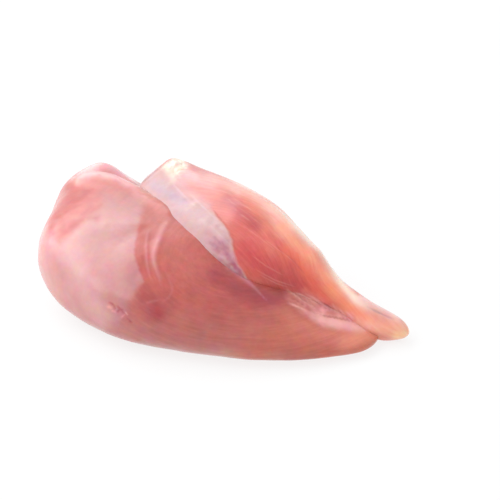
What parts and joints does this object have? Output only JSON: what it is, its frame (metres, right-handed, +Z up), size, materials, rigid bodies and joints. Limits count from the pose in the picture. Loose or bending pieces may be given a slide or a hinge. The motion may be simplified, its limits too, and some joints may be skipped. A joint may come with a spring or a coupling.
{
  "type": "raw chicken breast fillet",
  "caption": "Raw boneless chicken breast half lying skin side down, with a thick shoulder end, a tapered tip and its inner fillet along the inner edge.",
  "frame": {"origin": "middle of the bounding box, on the surface that the meat lies on", "axes": "+X from the thick shoulder end to the thin tip, +Y towards the straight inner edge, +Z up"},
  "size_m": [0.1726, 0.093, 0.0495],
  "materials": {
    "breast_meat": "wet raw pink muscle under a thin clear membrane",
    "inner_meat": "wet raw orange pink muscle, part covered with pearly silverskin"
  },
  "bodies": {
    "root": {"breast_fillet": "breast_meat", "inner_fillet": "inner_meat"}
  },
  "joints": []
}
